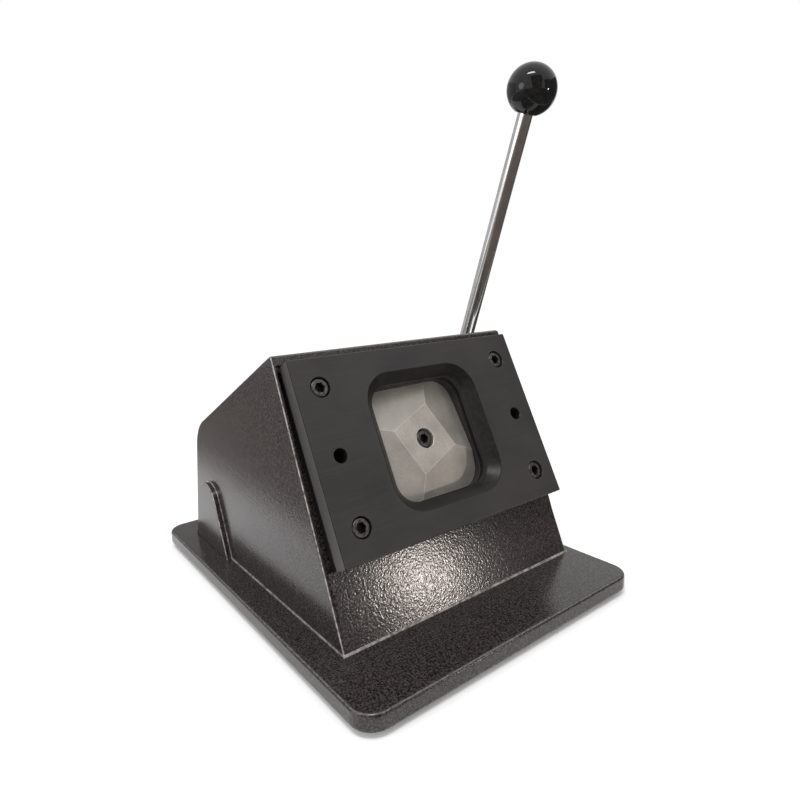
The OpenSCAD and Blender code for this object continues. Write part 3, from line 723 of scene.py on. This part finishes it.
# ---- punch ----
# A hardened block ground all over. Its face is a flat square, turned to the sides, with four ground
# slopes falling away, so that it shears the sheet a bit at a time. One screw holds it.
def ground_steel(name, grain_turn, painted_light_gain):
    steel = Finish(name)
    lines = steel.noise(60, 6, steel.stretched(grain_turn, (1, 24, 1)), 0.65)
    blotch = steel.noise(55, 4)
    grit = steel.noise(1400, 3)
    colour = steel.mixed(steel.band(blotch, 0.35, 0.65), tuple(painted_light_gain * c for c in (0.31, 0.287, 0.258)),
                         tuple(painted_light_gain * c for c in (0.41, 0.382, 0.346)))
    colour = steel.mixed(steel.band(grit, 0.5, 0.7, 0.0, 0.4), colour, (0.23, 0.21, 0.19))
    # near white on the facet edges: a painted edge highlight
    painted_edge_highlight = steel.sum(steel.edges(0.0004, 0.0006, 0.004), 0.6, "MULTIPLY")
    colour = steel.mixed(painted_edge_highlight, colour, (0.85, 0.84, 0.81))
    rough = steel.sum(steel.band(blotch, 0.3, 0.7, 0.36, 0.5), steel.band(lines, 0.3, 0.7, -0.05, 0.08))
    return steel.set(colour=colour, rough=rough, metal=0.6, normal=steel.bump(lines, 0.12, 0.00012))


punch_steel = ground_steel("ground_steel_slopes", (0, 0, 0.6), 1.0)
# the flat square face gets a lighter copy of the ground steel: painted light
flat_steel_painted_light = ground_steel("ground_steel_flat_painted_light", (0, 0, 2.2), 1.25)
punch_face, punch_back = -12.5 * mm, -50 * mm
punch_half, punch_round = 33.2 * mm, 12.05 * mm
flat_side, flat_turn, facet = 30.4 * mm, math.radians(23.5), math.radians(13)
punch_outline = round_corners(box_outline(punch_half, punch_half, punch_round), 12)
punch = from_bmesh("punch_ground", die_loft([(punch_outline, punch_back), (punch_outline, punch_face)]),
                   punch_steel, 5)
wedges = []
for k in range(4):
    a = flat_turn + k * math.pi / 2
    out, along = Vector((math.cos(a), math.sin(a))), Vector((-math.sin(a), math.cos(a)))
    near, far, wide, clear = flat_side / 2, flat_side / 2 + 60 * mm, 60 * mm, punch_face + 30 * mm
    drop = (far - near) * math.tan(facet)
    rings = []
    for s in (-wide, wide):
        corner, end = out * near + along * s, out * far + along * s
        rings.append([on_die(corner.x, corner.y, punch_face), on_die(end.x, end.y, punch_face - drop),
                      on_die(end.x, end.y, clear), on_die(corner.x, corner.y, clear)])
    wedges.append(from_bmesh("tool", loft(rings), punch_steel))
sunk_radius = 5.9 * mm
bore = [die_turned(0, 0, [(punch_face - 7.2 * mm, sunk_radius), (punch_face - ease, sunk_radius),
                          (punch_face + ease, sunk_radius + 2 * ease)]),
        die_turned(0, 0, [(punch_back - mm, screw_way), (punch_face - 6 * mm, screw_way)])]
carved(punch, *wedges, *[from_bmesh("tool", shape, punch_steel) for shape in bore])
punch.data.materials.append(flat_steel_painted_light)
punch.modifiers.clear()
for face in punch.data.polygons:
    face.use_smooth = False
    if face.normal.dot(out_of_face) > 0.9999:
        face.material_index = 1
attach(punch, body_of(frame["nodes"]["punch"])[0])
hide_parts("punch")

sunk_top, sunk_end = punch_face - 1.2 * mm, punch_face - 48.7 * mm
punch_screw = from_bmesh("punch_cap_screw", cap_screw(0, 0, sunk_top, shank, sunk_end), screw_oxide, 35)
paint_socket_shade(punch_screw, [(0, 0)], sunk_top)
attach(punch_screw, body_of(frame["nodes"]["punch_screw"])[0])
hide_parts("punch_screw")


# ---- lever rod ----
# Drawn steel rod, polished and chrome plated, turned down to a stud at the hub end and pressed
# into the knob at the other.
def chrome(name):
    plate_finish = Finish(name)
    haze = plate_finish.noise(90, 4)
    drawn = plate_finish.noise(300, 3, plate_finish.stretched((0, 0, 0), (1, 1, 0.03)))
    colour = plate_finish.mixed(plate_finish.band(haze, 0.4, 0.7), (0.78, 0.78, 0.78), (0.66, 0.65, 0.63))
    return plate_finish.set(colour=colour, metal=1.0, rough=plate_finish.band(haze, 0.3, 0.7, 0.06, 0.16),
                            normal=plate_finish.bump(drawn, 0.04, 0.00005))


knob_low, knob_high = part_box("ball_knob")
ball_centre = (knob_low + knob_high) / 2
ball_radius = (knob_high.x - knob_low.x) / 2
shaft_point = Vector((ball_centre.x, shaft_y, shaft_z))
lever_way = (ball_centre - shaft_point).normalized()
lever_length = (ball_centre - shaft_point).length
rod_radius, stud_radius, rod_start, knob_seat = 5.3 * mm, 4.0 * mm, 22.1 * mm, lever_length - 6 * mm
rod_steps = [(8.5 * mm, stud_radius - 0.4 * mm), (8.9 * mm, stud_radius),
             (rod_start - 0.01 * mm, stud_radius),
             (rod_start, rod_radius - 0.6 * mm), (rod_start + 0.15 * mm, rod_radius - 0.2 * mm),
             (rod_start + 0.6 * mm, rod_radius)]
rod_steps += [(rod_start + (knob_seat - rod_start) * k / 12, rod_radius) for k in range(1, 12)]
rod_steps += [(lever_length - 4.4 * mm, rod_radius), (lever_length - 4 * mm, rod_radius - 0.4 * mm)]
rod_chrome = chrome("chrome_plating")
rod = from_bmesh("lever_rod_chromed", turned(rod_steps, shaft_point, lever_way, 64), rod_chrome, 50)
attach(rod, body_of(frame["nodes"]["lever_rod"])[0])
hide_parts("lever_rod")


# ---- ball knob ----
# Moulded phenolic ball, polished gloss black, with a small flat land where it seats on the rod.
def knob_black(name):
    gloss = Finish(name)
    scuff = gloss.noise(240, 5)
    colour = gloss.mixed(gloss.band(scuff, 0.4, 0.7), (0.006, 0.006, 0.0065), (0.012, 0.0115, 0.011))
    return gloss.set(colour=colour, rough=gloss.band(scuff, 0.35, 0.75, 0.05, 0.10), specular=0.3,
                     normal=gloss.bump(scuff, 0.015, 0.0002))


land = 7.2 * mm
start_angle = math.asin(land / ball_radius)
land_at = lever_length - ball_radius * math.cos(start_angle)
knob_steps = [(knob_seat, rod_radius + 0.02 * mm), (land_at + 0.4 * mm, rod_radius + 0.02 * mm),
              (land_at, rod_radius + 0.5 * mm), (land_at, land - 0.4 * mm)]
for k in range(41):
    a = start_angle + (math.pi - start_angle) * k / 40
    knob_steps.append((lever_length - ball_radius * math.cos(a), max(ball_radius * math.sin(a), 0.02 * mm)))
knob_gloss = knob_black("gloss_black_phenolic")
knob = from_bmesh("ball_knob_gloss", turned(knob_steps, shaft_point, lever_way, 72), knob_gloss, 50)
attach(knob, body_of(frame["nodes"]["ball_knob"])[0])
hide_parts("ball_knob")


# ---- turned, ground and bearing parts inside and at the right side ----
# Shaft, hub, sleeve, cam, ram, pillars and spacers are bright machined steel; the bushes are cast
# bronze; the springs are hard drawn wire. They keep their machined shapes.
def machined(name, light, dark, roughness):
    steel = Finish(name)
    lines = steel.noise(60, 5, steel.stretched((0, 0, 0), (1, 30, 30)))
    oil = steel.noise(40, 4)
    colour = steel.mixed(steel.band(oil, 0.35, 0.65), light, dark)
    colour = steel.mixed(steel.sum(steel.edges(0.0004), 0.4, "MULTIPLY"), colour,
                         tuple(min(1, 1.5 * c) for c in light))
    return steel.set(colour=colour, rough=steel.band(lines, 0.3, 0.7, roughness - 0.07, roughness + 0.08),
                     metal=0.9, normal=steel.bump(lines, 0.08, 0.0001))


def coat(material, *nodes):
    """A finish for pieces that keep their machined shapes."""
    for name in nodes:
        slots = frame["nodes"][name].data.materials
        slots.clear()
        slots.append(material)


bright = machined("turned_steel", (0.42, 0.42, 0.43), (0.31, 0.31, 0.31), 0.32)
coat(bright, "cross_shaft", "lever_hub", "spacer_sleeve", "cam", "thrust_cap", "push_rod", "stop_collar",
     "stop_pins", "lock_nut", "guide_pillars", "cam_key")
grey = machined("milled_steel", (0.30, 0.30, 0.31), (0.20, 0.20, 0.21), 0.42)
coat(grey, "ram_plate", "upper_slot_spacer", "lower_slot_spacer", "die_dowels", "punch_dowels", "hub_pin")
coat(plate_black, "guide_plate", "pillar_rings")
coat(screw_oxide, "body_screws", "cam_set_screw", "collar_set_screw", "foot_screws")
bronze = machined("bearing_bronze", (0.50, 0.34, 0.15), (0.38, 0.24, 0.10), 0.38)
coat(bronze, "left_shaft_bush", "right_shaft_bush", "ram_bushes")
wire = machined("spring_wire", (0.36, 0.36, 0.37), (0.24, 0.24, 0.25), 0.30)
coat(wire, "left_return_spring", "right_return_spring")


# ---- rubber feet ----
# Moulded black rubber discs with a rounded rim, a screw recess and a fine matt grain, one screwed
# under each corner of the base.
def foot_black(name):
    rubber = Finish(name)
    grain = rubber.noise(1100, 4)
    dust = rubber.noise(60, 4)
    colour = rubber.mixed(rubber.band(dust, 0.4, 0.7), (0.018, 0.018, 0.018), (0.045, 0.043, 0.041))
    return rubber.set(colour=colour, rough=rubber.band(grain, 0.3, 0.7, 0.7, 0.9),
                      normal=rubber.bump(grain, 0.25, 0.0002))


feet_low, feet_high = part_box("rubber_feet")
foot_radius, foot_rim, screw_room, sunk_room = 11 * mm, 0.8 * mm, 2.2 * mm, 4.4 * mm
tall = feet_high.z - feet_low.z
foot_steps = [(tall - mm, screw_room), (tall - mm, sunk_room), (0, sunk_room + 0.2 * mm)]
foot_steps += [(foot_rim * (1 - math.cos(a)), foot_radius - foot_rim + foot_rim * math.sin(a))
               for a in [math.pi / 8 * k for k in range(5)]]
foot_steps += [(tall, foot_radius), (tall, screw_room)]
rubber_black = foot_black("moulded_rubber")
feet = bmesh.new()
up = Vector((0, 0, 1))
for x in (feet_low.x + foot_radius, feet_high.x - foot_radius):
    for y in (feet_low.y + foot_radius, feet_high.y - foot_radius):
        one = turned(foot_steps, Vector((x, y, feet_low.z)), up, 40)
        one.faces.ensure_lookup_table()
        for end in [f for f in one.faces if len(f.verts) > 4]:
            one.faces.remove(end)
        bmesh.ops.bridge_loops(one, edges=[e for e in one.edges if e.is_boundary])
        kept = bpy.data.meshes.new("foot")
        one.to_mesh(kept)
        one.free()
        feet.from_mesh(kept)
feet = from_bmesh("rubber_feet_moulded", feet, rubber_black)
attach(feet, body_of(frame["nodes"]["rubber_feet"])[0])
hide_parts("rubber_feet")
